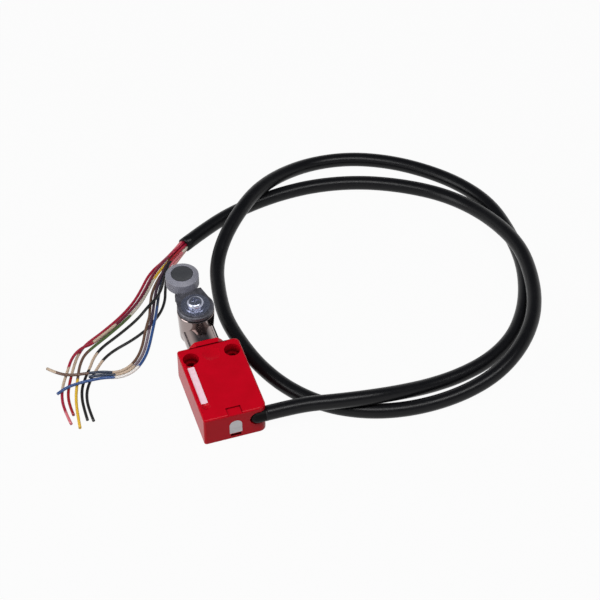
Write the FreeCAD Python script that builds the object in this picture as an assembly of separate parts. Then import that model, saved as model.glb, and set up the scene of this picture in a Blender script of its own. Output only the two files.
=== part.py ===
import FreeCAD, Part
import math
import os

from FreeCAD import Matrix, Rotation, Vector

# Miniature safety limit switch with a roller lever, lying on its back.
# Millimetres. The origin is midway between the two fixing holes, on the back face.
# X runs across the width, Y along the body towards the lever, Z out of the front face.

# Housing
BODY_WIDTH = 30.0
BODY_DEPTH = 16.0
BODY_BELOW_HOLES = 38.7
BODY_ABOVE_HOLES = 7.3
WALL = 1.9
FRONT_EDGE_RADIUS = 1.0
CORNER_RADIUS_LEFT = 1.3
CORNER_RADIUS_CABLE_SIDE = 3.6
CORNER_RADIUS_TOP_RIGHT = 2.75

# Fixing holes
HOLE_SPACING = 20.0
HOLE_RADIUS = 2.1
COUNTERBORE_RADIUS = 3.8
COUNTERBORE_DEPTH = 4.5
CAVITY_BELOW_HOLES = 5.2

# Turret collar and head
COLLAR_RADIUS = 9.7
COLLAR_LENGTH = 2.8
COLLAR_RIM_RADIUS = 0.6
COLLAR_GROOVE_BELOW_TOP = 1.4
COLLAR_GROOVE_WIDTH = 1.1
COLLAR_GROOVE_DEPTH = 0.6
DISH_RADIUS = 4.3
DISH_DEPTH = 0.55
DISH_ABOVE_HOLES = 0.8
NECK_RADIUS = 7.95
SPIGOT_RADIUS = 6.0
SPIGOT_LENGTH = 12.5
SHAFT_FROM_HOLES = 26.5
BOSS_RADIUS = 8.9
BOSS_FOOT_RADIUS = 8.1
BOSS_TOP = 20.0
BOSS_BOTTOM = 1.0
BOSS_FOOT_ROUND = 2.5
BOSS_RIM_CHAMFER = 0.35

# Shaft, bush and cam
SHAFT_RADIUS = 3.0
SHAFT_KEYED_RADIUS = 2.4
SHAFT_KEY_FLAT = 1.7
SHAFT_PIVOT_RADIUS = 1.9
SHAFT_SHOULDER_LENGTH = 0.5
SHAFT_BELOW_HUB_TOP = 0.2
PIVOT_FLOOR = 0.9
SERRATION_TEETH = 24
SERRATION_DEPTH = 0.3
LEVER_THREAD_RADIUS = 1.7
LEVER_THREAD_DEPTH = 8.5
BUSH_WALL = 1.9
SEAL_LENGTH = 1.6
SEAL_BELOW_TOP = 0.2
CAM_RADIUS = 4.6
CAM_FLAT = 3.2
CAM_LENGTH = 6.8
CAM_CHAMBER_RADIUS = 5.6
CHAMBER_BELOW_CAM = 1.2
THRUST_WASHER_THICKNESS = 0.9

# Follower and its spring
FOLLOWER_RADIUS = 4.0
FOLLOWER_CUP_LENGTH = 5.6
FOLLOWER_WALL = 0.6
ROD_RADIUS = 1.7
ROD_GUIDE_LENGTH = 7.0
FOLLOWER_TRAVEL = 2.0
HEAD_SPRING_RADIUS = 2.85
HEAD_SPRING_WIRE = 0.7
HEAD_SPRING_COILS = 5

# Turret clip and seals
CLIP_THICKNESS = 1.0
CLIP_GROOVE_DEPTH = 1.0
CLIP_OUTER_RADIUS = 6.9
CLIP_FROM_END = 0.75
CLIP_SIDE_GAP = 0.2
SEAL_RING_RADIUS = 0.5
SEAL_RING_BELOW_TOP = 1.6
DUST_RING_RADIUS = 8.3
DUST_RING_THICKNESS = 0.75

# Lever
LEVER_SET_ANGLE = 5.0
HUB_RADIUS = 8.8
HUB_BOTTOM = 20.85
HUB_CHAMFER = 0.5
LEVER_THICKNESS = 2.0
ARM_WIDTH_AT_HUB = 16.8
ARM_WIDTH_AT_SHOULDER = 13.2
SHOULDER_FROM_SHAFT = 10.4
FINGER_DROP = 1.95
FINGER_THICKNESS = 2.0
FINGER_STEP_FROM_SHAFT = 9.35
FINGER_TIP_RADIUS = 4.6
LEVER_TO_BOSS = 0.3
SHOULDER_CORNER_RADIUS = 0.5
FINGER_SIDE_STEP = 0.6
FINGER_ROOT_GAP = 0.2
ROLLER_RELIEF = 0.35
ARM_LENGTH = 17.4

# Lever screw and washers
WASHER_RADIUS = 6.9
WASHER_THICKNESS = 0.6
SPRING_WASHER_RADIUS = 5.3
SPRING_WASHER_THICKNESS = 0.6
SPRING_WASHER_GAP = 0.7
WASHER_BORE_GAP = 0.3
SCREW_HEAD_RADIUS = 4.0
SCREW_HEAD_TOP_RADIUS = 2.0
SCREW_HEAD_HEIGHT = 2.2
SCREW_SIDE_HEIGHT = 0.75
SCREW_DOME_BULGE = 0.5
SCREW_LENGTH = 8.0
CROSS_WIDTH = 0.9
CROSS_LENGTH = 3.6
CROSS_DEPTH = 0.9

# Roller
ROLLER_RADIUS = 8.0
ROLLER_WIDTH = 6.9
ROLLER_CHAMFER = 0.5
ROLLER_BEVEL_WIDTH = 2.3
ROLLER_BEVEL_HEIGHT = 1.1
ROLLER_RIM_WIDTH = 2.7
ROLLER_RECESS_DEPTH = 1.3
PIN_RADIUS = 2.0
PIN_HEAD_THICKNESS = 1.2
PIN_DISH_DEPTH = 0.6
PIN_RIM = 0.25
PIN_HEAD_GAP = 0.2
RIVET_RADIUS = 3.0
RIVET_HEIGHT = 0.7
ROLLER_WASHER_RADIUS = 3.6
ROLLER_WASHER_THICKNESS = 0.35

# Front and bottom details
STRIP_WIDTH = 3.25
STRIP_LENGTH = 23.5
STRIP_FROM_SIDE = 1.9
STRIP_TOP_BELOW_HOLES = 4.7
STRIP_RECESS_DEPTH = 0.8
STRIP_THICKNESS = 0.5
STRIP_CORNER_RADIUS = 0.3
STRIP_SCOOP_RADIUS = 2.6
STRIP_SCOOP_DEPTH = 0.9
STRIP_SCOOP_BELOW = 1.8
PRY_WIDTH = 7.0
PRY_HEIGHT = 4.7
PRY_DEPTH = 0.6
END_PLATE_WIDTH = 6.0
END_PLATE_BOTTOM = 3.2
END_PLATE_TOP = 11.4
END_PLATE_THICKNESS = 0.5
END_SLOT_WIDTH = 5.0
END_SLOT_HEIGHT = 1.5
END_SLOT_DEPTH = 1.2
END_SLOT_BELOW_PLATE = 0.4

# Rear cover
COVER_THICKNESS = 1.2
COVER_SET_BACK = 0.1
COVER_LAND = 0.9
COVER_TOP_LAND = 0.8
COVER_CORNER_RADIUS = 1.0
TONGUE_CORNER_RADIUS = 0.25
TONGUE_LAND = 0.3
GASKET_THICKNESS = 0.4
COVER_SCREW_RADIUS = 0.8
COVER_SCREW_HEAD_RADIUS = 1.5
COVER_SCREW_LENGTH = 4.6
COVER_SCREW_SLOT_WIDTH = 0.3
COVER_SCREW_SLOT_DEPTH = 0.4
COVER_POST_SIZE = 3.2

# Contact block
BLOCK_SIDE_GAP = 1.5
BLOCK_LENGTH = 21.4
BLOCK_WALL = 1.2
BLOCK_LID_THICKNESS = 1.0
BLOCK_TO_POST = 0.2
PLUNGER_WIDTH = 4.4
PLUNGER_DEPTH = 5.6
PLUNGER_STEM_RADIUS = 2.0
PLUNGER_TOP_GAP = 1.0
PLUNGER_STEM_ROOT = 1.0
PLUNGER_TAIL_ROOT = 0.5
FIRST_POLE_BELOW_TOP = 3.4
POLE_PITCH = 4.5
CLOSING_POLE_SHIFT = 0.6
BRIDGE_TO_LEG = 0.7
BRIDGE_DEPTH = 2.4
BRIDGE_THICKNESS = 0.6
CONTACT_RADIUS = 0.9
CONTACT_HEIGHT = 0.3
CONTACT_FROM_BRIDGE_END = 1.3
CONTACT_CLEARANCE = 0.05
STRIP_METAL = 0.6
TERMINAL_HEIGHT = 1.4
LOW_TERMINAL_LEVEL = 4.2
TERMINAL_LENGTH = 1.5
OPENING_LEG_INSET = 0.6
CLOSING_LEG_INSET = 1.9
BRIDGE_SPRING_RADIUS = 0.95
BRIDGE_SPRING_WIRE = 0.3
BRIDGE_SPRING_COILS = 2
BRIDGE_SPRING_SPACE = 1.7
PLUNGER_SPRING_RADIUS = 1.5
PLUNGER_SPRING_WIRE = 0.4
PLUNGER_SPRING_COILS = 2
PLUNGER_BELOW_LAST_POLE = 2.6
PLUNGER_TAIL = 1.4

# Cable
CABLE_RADIUS = 3.6
CABLE_EXIT_HEIGHT = 9.4
CABLE_ABOVE_BOTTOM = 1.7
ELBOW_FROM_SIDE = 4.3
ELBOW_RADIUS = 3.5
ELBOW_LENGTH = 5.0
NOTCH_GAP = 0.3
CORE_RADIUS = 0.725
CORE_RING_RADIUS = 2.2
ARC_SHARE = 0.45

# Clearances
RUNNING = 0.05
SEAT_GAP = 0.05
AXIAL_GAP = 0.1
TOOTH_GAP = 0.03

# The cable's free route over the surface that the switch lies on: it passes over its own second
# turn near the body, over the stripped end at the far left, and lies on the first turn at the right.
CABLE_ROUTE = [
    (24.0, -37.0, 9.4), (35.0, -39.0, 11.1), (46.6, -41.9, 11.7), (61.9, -44.1, 11.4),
    (78.0, -43.1, 8.2), (95.0, -40.5, 4.4), (111.1, -38.1, 3.65), (127.2, -33.3, 3.65),
    (142.3, -23.9, 3.65), (153.8, -10.2, 3.65), (161.6, 5.9, 3.65), (166.9, 24.8, 3.65),
    (169.7, 46.0, 3.65), (167.9, 67.2, 3.65), (159.7, 85.6, 3.65), (146.9, 101.4, 3.65),
    (130.5, 114.4, 3.65), (111.3, 123.1, 3.65), (91.0, 125.3, 4.2), (70.9, 117.4, 8.2),
    (54.3, 105.6, 11.6), (40.8, 91.6, 11.6), (30.5, 79.6, 8.2), (23.0, 67.1, 4.0),
    (17.8, 50.1, 3.65), (15.9, 32.8, 3.65), (17.8, 15.5, 3.65), (22.1, -3.0, 3.65),
    (30.6, -21.1, 3.65), (43.4, -35.7, 3.65), (58.8, -44.9, 3.65), (75.7, -49.8, 3.65),
    (93.6, -50.8, 3.65), (110.5, -49.4, 5.0), (125.8, -45.8, 8.0), (139.6, -37.6, 10.8),
    (151.5, -24.4, 11.6), (159.6, -8.9, 11.6), (164.6, 9.7, 11.6), (166.0, 27.0, 11.6),
    (164.3, 46.1, 9.6), (158.8, 66.8, 5.6), (147.2, 83.4, 3.65), (129.2, 95.6, 3.65),
    (109.3, 104.5, 3.65), (87.8, 108.9, 3.65), (66.4, 108.4, 3.65), (45.7, 104.1, 3.65),
    (27.6, 97.1, 3.65), (10.6, 87.0, 3.65),
]

# Heights of a core's centre: on the surface, beside others in a second layer, and over another core
LOW = 0.85
UP = 2.4
OVER = 2.6

# Where each core starts on the jacket's end face: steps of an eighth of a turn round the ring of
# cores, from the side away from the switch over the top, or None in the middle
CORE_PLACES = {
    "red": 0, "red_white": 1, "white_violet": 2, "black_white": 3,
    "violet": None, "blue": 4, "black": 5, "brown": 6, "green_yellow": 7,
}

CORE_ROUTES = {
    "red": [
        (-0.6, 82.5, LOW), (-10.4, 76.1, LOW), (-18.6, 64.2, LOW), (-24.2, 57.6, LOW), (-32.0, 50.8, LOW),
        (-43.4, 43.3, LOW), (-52.3, 38.5, LOW), (-57.6, 32.6, LOW), (-61.2, 25.6, LOW), (-65.0, 17.2, LOW),
        (-67.6, 10.0, LOW), (-68.4, 3.1, LOW), (-68.0, -3.3, LOW),
    ],
    "red_white": [
        (0.0, 81.6, UP), (-9.0, 75.0, LOW), (-17.2, 63.1, LOW), (-22.9, 56.4, LOW), (-31.0, 49.4, LOW),
        (-42.5, 41.8, LOW), (-49.6, 37.6, 1.0), (-54.6, 35.4, 2.8), (-60.6, 30.8, 2.7), (-65.0, 23.2, LOW),
        (-68.6, 16.2, LOW), (-70.9, 8.6, LOW), (-71.3, 0.6, LOW), (-70.3, -8.3, LOW),
    ],
    "green_yellow": [
        (0.5, 80.9, LOW), (-7.7, 73.8, LOW), (-15.8, 62.1, LOW), (-21.6, 55.2, LOW), (-29.9, 48.0, LOW),
        (-41.6, 40.3, LOW), (-49.6, 35.5, LOW), (-54.6, 31.8, LOW), (-58.0, 26.2, LOW), (-60.4, 19.8, LOW),
        (-62.6, 13.2, LOW), (-64.6, 6.4, LOW), (-66.0, -2.0, LOW), (-67.0, -11.9, LOW),
    ],
    "white_violet": [
        (0.5, 80.9, 3.95), (-8.4, 74.4, UP), (-16.5, 62.6, UP), (-22.3, 55.8, UP), (-30.4, 48.7, UP),
        (-42.0, 41.1, UP), (-48.3, 37.6, UP),
    ],
    "black_white": [
        (1.5, 79.5, 3.95), (-4.1, 70.8, UP), (-7.8, 62.2, UP), (-12.0, 56.4, 2.8), (-17.6, 51.8, 2.9),
        (-24.2, 47.0, LOW), (-35.3, 39.8, LOW), (-45.4, 34.2, LOW), (-50.4, 29.2, LOW), (-53.8, 23.2, LOW),
        (-57.4, 17.6, LOW), (-60.4, 11.8, LOW), (-62.0, 5.2, LOW), (-62.5, -1.6, LOW), (-62.6, -8.2, LOW),
    ],
    "black": [
        (2.7, 77.9, LOW), (-3.4, 70.0, LOW), (-6.3, 61.6, LOW), (-8.0, 55.6, LOW), (-11.4, 49.2, LOW),
        (-16.2, 43.9, LOW), (-22.0, 38.8, LOW), (-30.4, 34.2, LOW), (-40.2, 30.6, LOW), (-46.4, 26.6, LOW),
        (-51.2, 21.0, LOW), (-55.6, 15.2, LOW), (-58.8, 9.0, LOW), (-60.1, 2.8, LOW), (-60.3, -3.4, LOW),
        (-60.0, -9.6, LOW),
    ],
    "brown": [
        (1.5, 79.5, LOW), (-6.1, 72.5, LOW), (-12.6, 63.1, LOW), (-15.9, 54.6, LOW), (-18.2, 46.4, 1.9),
        (-20.2, 42.2, OVER), (-22.8, 37.0, OVER), (-26.8, 28.4, LOW), (-31.2, 21.8, LOW), (-36.6, 17.4, LOW),
        (-42.8, 16.3, LOW), (-49.0, 17.4, OVER), (-56.0, 18.6, OVER), (-63.4, 19.6, OVER),
        (-69.2, 22.6, OVER), (-73.2, 29.0, LOW),
    ],
    "violet": [
        (1.0, 80.2, UP), (-5.4, 71.9, UP), (-10.9, 62.6, LOW), (-14.2, 54.0, LOW), (-17.0, 45.4, OVER),
        (-20.4, 38.2, OVER), (-25.5, 27.2, LOW), (-30.0, 20.6, LOW), (-35.6, 15.9, LOW), (-42.2, 14.5, LOW),
        (-48.9, 15.5, OVER), (-56.0, 16.2, OVER),
    ],
    "blue": [
        (2.0, 78.8, UP), (-4.8, 71.3, LOW), (-9.2, 62.2, LOW), (-12.5, 53.4, LOW), (-15.2, 45.6, OVER),
        (-18.6, 38.0, OVER), (-24.2, 26.2, LOW), (-28.8, 19.4, LOW), (-34.6, 14.3, LOW), (-41.6, 12.8, LOW),
        (-48.6, 13.4, OVER), (-55.6, 13.9, OVER), (-63.0, 13.7, OVER), (-68.4, 12.5, OVER), (-72.4, 10.4, UP),
    ],
}

# Levels and places worked out from the sizes above
HALF_WIDTH = BODY_WIDTH / 2
BODY_BOTTOM = -BODY_BELOW_HOLES
BODY_TOP = BODY_ABOVE_HOLES
COLLAR_END = BODY_TOP + COLLAR_LENGTH
STRIP_LEFT = HALF_WIDTH - STRIP_FROM_SIDE
ELBOW_X = HALF_WIDTH - ELBOW_FROM_SIDE
FRONT_WALL_INSIDE = BODY_DEPTH - WALL
TURRET_HEIGHT = BODY_DEPTH / 2
HOLE_X = HOLE_SPACING / 2
CAVITY_TOP = -CAVITY_BELOW_HOLES
CAVITY_BOTTOM = BODY_BOTTOM + WALL
CAVITY_HALF_WIDTH = HALF_WIDTH - WALL
COVER_SEAT = COVER_SET_BACK + COVER_THICKNESS + GASKET_THICKNESS
SPIGOT_END = COLLAR_END - SPIGOT_LENGTH
CLIP_FACE = SPIGOT_END + CLIP_THICKNESS + CLIP_FROM_END
CHANNEL_TOP = CLIP_FACE + SEAT_GAP
CHANNEL_HALF_WIDTH = CLIP_OUTER_RADIUS + CLIP_SIDE_GAP
CLIP_LEGS_TOP = TURRET_HEIGHT + CLIP_OUTER_RADIUS / 3
BUSH_RADIUS = SHAFT_RADIUS + RUNNING + BUSH_WALL
SEAL_TOP = BOSS_TOP - SEAL_BELOW_TOP
BUSH_TOP = SEAL_TOP - SEAL_LENGTH - SEAT_GAP
CAM_CENTRE = TURRET_HEIGHT
CAM_BOTTOM = CAM_CENTRE - CAM_LENGTH / 2
CAM_TOP = CAM_CENTRE + CAM_LENGTH / 2
CHAMBER_BOTTOM = CAM_BOTTOM - CHAMBER_BELOW_CAM
THRUST_BOTTOM = CAM_TOP + AXIAL_GAP
CHAMBER_TOP = THRUST_BOTTOM + THRUST_WASHER_THICKNESS + AXIAL_GAP
BUSH_BOTTOM = CHAMBER_TOP
PIVOT_BOTTOM = BOSS_BOTTOM + PIVOT_FLOOR
FOLLOWER_FACE = SHAFT_FROM_HOLES - CAM_RADIUS - AXIAL_GAP
CUP_END = FOLLOWER_FACE - FOLLOWER_CUP_LENGTH
ROD_END = SPIGOT_END
SPRING_SEAT = SPIGOT_END + ROD_GUIDE_LENGTH
HEAD_SPRING_LENGTH = CUP_END - SPRING_SEAT - FOLLOWER_TRAVEL - 2 * AXIAL_GAP
HUB_TOP = HUB_BOTTOM + LEVER_THICKNESS
FINGER_BOTTOM = HUB_BOTTOM - FINGER_DROP
FINGER_TOP = FINGER_BOTTOM + FINGER_THICKNESS
ROLLER_BOTTOM = FINGER_TOP + ROLLER_WASHER_THICKNESS + 2 * SEAT_GAP
ROLLER_TOP = ROLLER_BOTTOM + ROLLER_WIDTH
RECESS_RADIUS = ROLLER_RADIUS - ROLLER_RIM_WIDTH
RECESS_FLOOR = ROLLER_TOP - ROLLER_RECESS_DEPTH
SCREW_SEAT = HUB_TOP + WASHER_THICKNESS + SPRING_WASHER_THICKNESS
BLOCK_WIDTH = 2 * (CAVITY_HALF_WIDTH - BLOCK_SIDE_GAP)
LEG_OUTSIDE = BLOCK_WIDTH / 2 - BLOCK_WALL
BRIDGE_WIDTH = 2 * (LEG_OUTSIDE - STRIP_METAL - CLOSING_LEG_INSET - BRIDGE_TO_LEG)
CONTACT_CENTRE = BRIDGE_WIDTH / 2 - CONTACT_FROM_BRIDGE_END
BLOCK_TOP = CAVITY_TOP - COVER_POST_SIZE - BLOCK_TO_POST
BLOCK_BOTTOM = BLOCK_TOP - BLOCK_LENGTH
BLOCK_FRONT = FRONT_WALL_INSIDE - SEAT_GAP
LID_BOTTOM = COVER_SEAT + SEAT_GAP
LID_TOP = LID_BOTTOM + BLOCK_LID_THICKNESS
FIRST_POLE = BLOCK_TOP - FIRST_POLE_BELOW_TOP
CLOSING_POLE = FIRST_POLE - 2 * POLE_PITCH - CLOSING_POLE_SHIFT
PLUNGER_END = CLOSING_POLE - PLUNGER_BELOW_LAST_POLE
CABLE_Y = BODY_BOTTOM + CABLE_ABOVE_BOTTOM
NOTCH_RADIUS = CABLE_RADIUS + NOTCH_GAP
ELBOW_FACE = ELBOW_X + ELBOW_RADIUS + AXIAL_GAP
SHAFT_AXIS = Vector(0, SHAFT_FROM_HOLES, 0)
X_AXIS = Vector(1, 0, 0)
Y_AXIS = Vector(0, 1, 0)
Z_AXIS = Vector(0, 0, 1)


def box(x0, x1, y0, y1, z0, z1):
    """A block between two corners."""
    return Part.makeBox(x1 - x0, y1 - y0, z1 - z0, Vector(x0, y0, z0))


def rod(radius, start, end):
    """A round bar from one point to another."""
    line = end - start
    return Part.makeCylinder(radius, line.Length, start, line)


def upright(radius, z0, z1, centre=SHAFT_AXIS):
    """A cylinder about an upright axis."""
    return Part.makeCylinder(radius, z1 - z0, Vector(centre.x, centre.y, z0))


def tube(outer, inner, z0, z1, centre=SHAFT_AXIS):
    """A sleeve about an upright axis."""
    return upright(outer, z0, z1, centre).cut(upright(inner, z0 - 1, z1 + 1, centre))


def along_turret(radius, y0, y1):
    """A cylinder about the turret's axis."""
    return rod(radius, Vector(0, y0, TURRET_HEIGHT), Vector(0, y1, TURRET_HEIGHT))


def turned(profile, origin, axis):
    """A solid of revolution from (radius, height) points about an axis through the origin."""
    side = X_AXIS
    points = [origin + side * radius + axis * height for radius, height in profile]
    face = Part.Face(Part.makePolygon(points + [points[0]]))
    return face.revolve(origin, axis, 360)


def plate(outline, z0, z1):
    """A flat plate from a closed wire in the plane z = 0."""
    face = Part.Face(outline)
    solid = face.extrude(Vector(0, 0, z1 - z0))
    solid.translate(Vector(0, 0, z0))
    return solid


def rounded_outline(corners):
    """A closed wire through (x, y, radius) corners, given anticlockwise, with each corner rounded."""
    edges = []
    count = len(corners)
    starts = []
    ends = []
    for index in range(count):
        x, y, radius = corners[index]
        here = Vector(x, y, 0)
        before = Vector(corners[index - 1][0], corners[index - 1][1], 0)
        after = Vector(corners[(index + 1) % count][0], corners[(index + 1) % count][1], 0)
        to_before = (before - here).normalize()
        to_after = (after - here).normalize()
        opening = to_before.getAngle(to_after)
        reach = radius / math.tan(opening / 2)
        start = here + to_before * reach
        end = here + to_after * reach
        bisector = (to_before + to_after).normalize()
        middle = here + bisector * (radius / math.sin(opening / 2) - radius)
        if radius > 0:
            edges.append((index, Part.Arc(start, middle, end).toShape()))
        starts.append(start)
        ends.append(end)
    for index in range(count):
        gap = starts[(index + 1) % count] - ends[index]
        if gap.Length > 1e-6:
            edges.append((index + 0.5, Part.makeLine(ends[index], starts[(index + 1) % count])))
    edges.sort(key=lambda entry: entry[0])
    return Part.Wire([edge for order, edge in edges])


def coil(radius, wire, coils, length, origin, axis):
    """A compression spring of a given outer length, its wire drawn with six sides."""
    pitch = (length - wire) / coils
    helix = Part.makeHelix(pitch, length - wire, radius)
    corners = [Vector(radius, 0, 0) + Rotation(Y_AXIS, 60 * corner) * Vector(wire / 2, 0, 0)
               for corner in range(6)]
    section = Part.makePolygon(corners + [corners[0]])
    spring = Part.Wire(helix.Edges).makePipeShell([section], True, True)
    spring.translate(Vector(0, 0, wire / 2))
    turn = Rotation(Z_AXIS, axis)
    spring.Placement = FreeCAD.Placement(origin, turn).multiply(spring.Placement)
    return spring


def cable_path(points):
    """Straight runs joined by tangent arcs, and the radii of those arcs."""
    edges = []
    radii = []
    last = points[0]
    for before, here, after in zip(points, points[1:], points[2:]):
        back = before - here
        ahead = after - here
        reach = ARC_SHARE * min(back.Length, ahead.Length)
        back.normalize()
        ahead.normalize()
        half_turn = (math.pi - back.getAngle(ahead)) / 2
        radius = reach / math.tan(half_turn)
        radii.append(radius)
        start = here + back * reach
        end = here + ahead * reach
        inward = (back + ahead).normalize()
        middle = here + inward * (radius / math.cos(half_turn) - radius)
        edges.append(Part.LineSegment(last, start).toShape())
        edges.append(Part.Arc(start, middle, end).toShape())
        last = end
    edges.append(Part.LineSegment(last, points[-1]).toShape())
    return Part.Wire(edges), radii


def cable_tube(name, points, radius):
    """The solid of a free cable along its route."""
    path, radii = cable_path(points)
    section = Part.Wire(Part.makeCircle(radius, points[0], points[1] - points[0]))
    solid = path.makePipeShell([section], True, True)
    expected = math.pi * radius ** 2 * path.Length
    print(name, "length %.1f" % path.Length, "volume ratio %.4f" % (solid.Volume / expected),
          "radii", [round(value, 1) for value in radii])
    return solid


def save(name, *solids):
    """Write one node."""
    shape = solids[0] if len(solids) == 1 else Part.makeCompound(list(solids))
    shape.exportStep("parts/" + name + ".step")


# Housing

def body_outline(inset=0.0):
    """The body's outline from the front, with its four different corners."""
    return rounded_outline([
        (-HALF_WIDTH + inset, BODY_BOTTOM + inset, CORNER_RADIUS_LEFT),
        (HALF_WIDTH - inset, BODY_BOTTOM + inset, CORNER_RADIUS_CABLE_SIDE),
        (HALF_WIDTH - inset, BODY_TOP - inset, CORNER_RADIUS_TOP_RIGHT),
        (-HALF_WIDTH + inset, BODY_TOP - inset, CORNER_RADIUS_LEFT),
    ])


def turret_collar():
    """The round collar past the body's top end, with flats flush with the front and the back."""
    collar = along_turret(COLLAR_RADIUS, BODY_TOP - COLLAR_LENGTH, COLLAR_END)
    collar = collar.common(box(-COLLAR_RADIUS, COLLAR_RADIUS, 0, COLLAR_END, 0, BODY_DEPTH))
    rim = [edge for edge in collar.Edges if edge.BoundBox.YMin > COLLAR_END - 0.01]
    return collar.makeFillet(COLLAR_RIM_RADIUS, rim)


def dish_cutter():
    """The shallow round dish in the front, between the fixing holes."""
    sphere_radius = (DISH_RADIUS ** 2 + DISH_DEPTH ** 2) / (2 * DISH_DEPTH)
    centre = Vector(0, DISH_ABOVE_HOLES, BODY_DEPTH - DISH_DEPTH + sphere_radius)
    return Part.makeSphere(sphere_radius, centre)


def cover_outline(inset):
    """The rear cover's outline, with the tongue that closes the clip's channel."""
    side = HALF_WIDTH - COVER_LAND - inset
    tongue = CHANNEL_HALF_WIDTH + TONGUE_LAND - inset
    low = BODY_BOTTOM + COVER_LAND + inset
    top = CAVITY_TOP + COVER_TOP_LAND - inset
    tongue_top = CHANNEL_TOP + TONGUE_LAND - inset
    small = TONGUE_CORNER_RADIUS
    cable_corner = CORNER_RADIUS_CABLE_SIDE - COVER_LAND - inset
    return rounded_outline([
        (-side, low, COVER_CORNER_RADIUS), (side, low, cable_corner),
        (side, top, small), (tongue, top, small), (tongue, tongue_top, small),
        (-tongue, tongue_top, small), (-tongue, top, small), (-side, top, small),
    ])


def cover_screw_places():
    """The four corners where the rear cover is screwed down."""
    x = CAVITY_HALF_WIDTH - COVER_POST_SIZE / 2
    low = CAVITY_BOTTOM + COVER_POST_SIZE / 2
    high = CAVITY_TOP - COVER_POST_SIZE / 2
    return [Vector(sx * x, y, 0) for y in (low, high) for sx in (-1, 1)]


def notch_cutter():
    """The cable's way out: a bore up into the cavity and a slot out through the side."""
    centre = Vector(ELBOW_X, CABLE_Y, CABLE_EXIT_HEIGHT)
    up = rod(NOTCH_RADIUS, Vector(ELBOW_X, BODY_BOTTOM - 1, CABLE_EXIT_HEIGHT),
             Vector(ELBOW_X, CABLE_Y + ELBOW_LENGTH + AXIAL_GAP, CABLE_EXIT_HEIGHT))
    out = rod(NOTCH_RADIUS, centre, centre + X_AXIS * BODY_WIDTH)
    below = box(ELBOW_X, BODY_WIDTH, BODY_BOTTOM - 1, CABLE_Y,
                CABLE_EXIT_HEIGHT - NOTCH_RADIUS, CABLE_EXIT_HEIGHT + NOTCH_RADIUS)
    return up.fuse([out, below])


def housing():
    block = plate(body_outline(), 0, BODY_DEPTH)
    rim = [edge for edge in block.Edges if edge.BoundBox.ZMin > BODY_DEPTH - 0.01]
    block = block.makeFillet(FRONT_EDGE_RADIUS, rim)
    shell = block.fuse(turret_collar()).removeSplitter()
    cavity = box(-CAVITY_HALF_WIDTH, CAVITY_HALF_WIDTH, CAVITY_BOTTOM, CAVITY_TOP, -1, FRONT_WALL_INSIDE)
    channel = box(-CHANNEL_HALF_WIDTH, CHANNEL_HALF_WIDTH, CAVITY_TOP - 1, CHANNEL_TOP,
                  -1, CLIP_LEGS_TOP)
    bore = along_turret(SPIGOT_RADIUS + RUNNING, CAVITY_TOP - 1, COLLAR_END + 1)
    seat = plate(cover_outline(0), -1, COVER_SEAT)
    cuts = [channel, bore, seat]
    posts = []
    for place in cover_screw_places():
        half = COVER_POST_SIZE / 2 + SEAT_GAP
        posts.append(box(place.x - half, place.x + half, place.y - half, place.y + half,
                         COVER_SEAT, COVER_SEAT + COVER_SCREW_LENGTH))
    for post in posts:
        cavity = cavity.cut(post)
    for place in cover_screw_places():
        cuts.append(upright(COVER_SCREW_RADIUS + TOOTH_GAP, -1,
                            COVER_SET_BACK + COVER_SCREW_LENGTH + 2 * AXIAL_GAP, place))
    for side in (-1, 1):
        centre = Vector(side * HOLE_X, 0, 0)
        cuts.append(upright(HOLE_RADIUS, -1, BODY_DEPTH + 1, centre))
        cuts.append(upright(COUNTERBORE_RADIUS, BODY_DEPTH - COUNTERBORE_DEPTH, BODY_DEPTH + 3, centre))
    strip_right = -STRIP_LEFT + STRIP_WIDTH
    strip_low = -STRIP_TOP_BELOW_HOLES - STRIP_LENGTH
    cuts.append(box(-STRIP_LEFT - RUNNING, strip_right + RUNNING, strip_low - RUNNING, 0,
                    BODY_DEPTH - STRIP_RECESS_DEPTH, BODY_DEPTH + 1))
    scoop_centre = Vector(-STRIP_LEFT + STRIP_WIDTH / 2, strip_low - STRIP_SCOOP_BELOW,
                          BODY_DEPTH + STRIP_SCOOP_RADIUS - STRIP_SCOOP_DEPTH)
    cuts.append(Part.makeSphere(STRIP_SCOOP_RADIUS, scoop_centre))
    cuts.append(box(-PRY_WIDTH / 2, PRY_WIDTH / 2, BODY_BOTTOM - 1, BODY_BOTTOM + PRY_HEIGHT,
                    BODY_DEPTH - PRY_DEPTH, BODY_DEPTH + 1))
    cuts.append(end_plate_shape(RUNNING, 1.0))
    slot_top = END_PLATE_BOTTOM - END_SLOT_BELOW_PLATE
    cuts.append(box(-END_SLOT_WIDTH / 2, END_SLOT_WIDTH / 2, BODY_BOTTOM - 1, BODY_BOTTOM + END_SLOT_DEPTH,
                    slot_top - END_SLOT_HEIGHT, slot_top))
    cuts.append(notch_cutter())
    cuts.append(dish_cutter())
    groove_low = BODY_TOP - COLLAR_GROOVE_BELOW_TOP
    cuts.append(box(-COLLAR_RADIUS + COLLAR_RIM_RADIUS, COLLAR_RADIUS - COLLAR_RIM_RADIUS, groove_low,
                    groove_low + COLLAR_GROOVE_WIDTH, BODY_DEPTH - COLLAR_GROOVE_DEPTH, BODY_DEPTH + 1))
    return shell.cut([cavity] + cuts)


def end_plate_shape(clearance, proud):
    """The arch-topped plate on the bottom face, or the pocket for it."""
    half = END_PLATE_WIDTH / 2 + clearance
    arch = END_PLATE_TOP - END_PLATE_WIDTH / 2
    inner = BODY_BOTTOM + END_PLATE_THICKNESS
    outer = BODY_BOTTOM - proud
    lower = box(-half, half, outer, inner, END_PLATE_BOTTOM - clearance, arch)
    top = rod(half, Vector(0, outer, arch), Vector(0, inner, arch))
    return lower.fuse(top).removeSplitter()


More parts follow.
